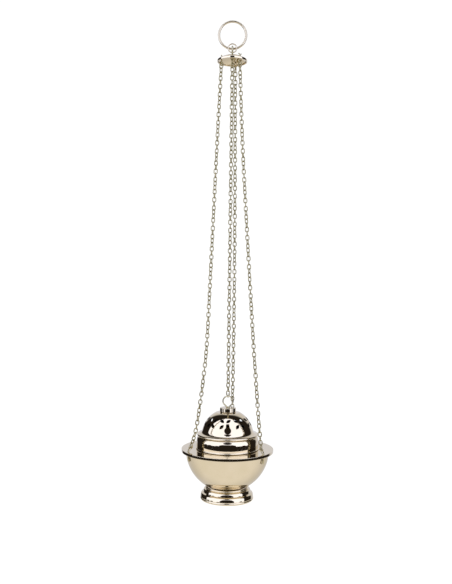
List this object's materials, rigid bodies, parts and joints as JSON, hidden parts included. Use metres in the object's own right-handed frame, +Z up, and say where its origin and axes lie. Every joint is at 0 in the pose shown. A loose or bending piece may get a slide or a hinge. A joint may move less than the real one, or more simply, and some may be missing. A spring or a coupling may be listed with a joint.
{
  "type": "hanging thurible censer",
  "caption": "Small hanging censer: round bowl on a stepped foot, pierced domed lid on a lifting chain, and three suspension chains under a cap with a hand ring.",
  "frame": {"origin": "where a hook bears inside the top of the hand ring, on the object's upright axis", "axes": "+Z up along the bowl's axis and the object's longest side, +Y to the chain at the back, -Y to the front, +X to the right seen from the front"},
  "size_m": [0.095, 0.095, 0.4938],
  "materials": {
    "polished_brass": "mirror polished",
    "brass_wire": "bright drawn wire",
    "chain_brass": "bright drawn wire links",
    "cup_brass": "dull, heat tinted",
    "steel": "plain"
  },
  "bodies": {
    "grip": {"hand_ring": "polished_brass"},
    "censer": {"foot": "polished_brass", "foot_screw": "steel", "foot_washer": "polished_brass", "foot_nut": "polished_brass", "bowl": "polished_brass", "rim_flange": "polished_brass", "rim_eye_back": "brass_wire", "rim_link_back": "brass_wire", "bowl_chain_back": "chain_brass", "cap_link_back": "brass_wire", "cap_eye_back": "brass_wire", "rim_eye_left": "brass_wire", "rim_link_left": "brass_wire", "bowl_chain_left": "chain_brass", "cap_link_left": "brass_wire", "cap_eye_left": "brass_wire", "rim_eye_right": "brass_wire", "rim_link_right": "brass_wire", "bowl_chain_right": "chain_brass", "cap_link_right": "brass_wire", "cap_eye_right": "brass_wire", "hanger_cap": "polished_brass", "hanger_eye": "brass_wire"},
    "cup": {"charcoal_cup": "cup_brass"},
    "lid": {"lid_drum": "polished_brass", "lid_dome": "polished_brass", "lid_collar": "polished_brass", "lid_eye": "brass_wire", "lid_link": "brass_wire", "lid_chain": "chain_brass"},
    "pull_ring": {"pull_ring": "polished_brass"}
  },
  "joints": [
    {"name": "swing", "type": "hinge", "parent": "grip", "child": "censer", "pos_m": [0, 0, -0.0268], "axis": [1, 0, 0], "range_deg": [-60, 60]},
    {"name": "lid_lift", "type": "slide", "parent": "censer", "child": "lid", "axis": [0, -0.0205, 0.9998], "range_m": [0, 0.06]},
    {"name": "pull_ring_tilt", "type": "hinge", "parent": "lid", "child": "pull_ring", "pos_m": [0, -0.0072, -0.03293], "axis": [1, 0, 0], "range_deg": [0, 65]},
    {"name": "cup_lift", "type": "slide", "parent": "censer", "child": "cup", "axis": [0, 0, 1], "range_m": [0, 0.022]}
  ]
}
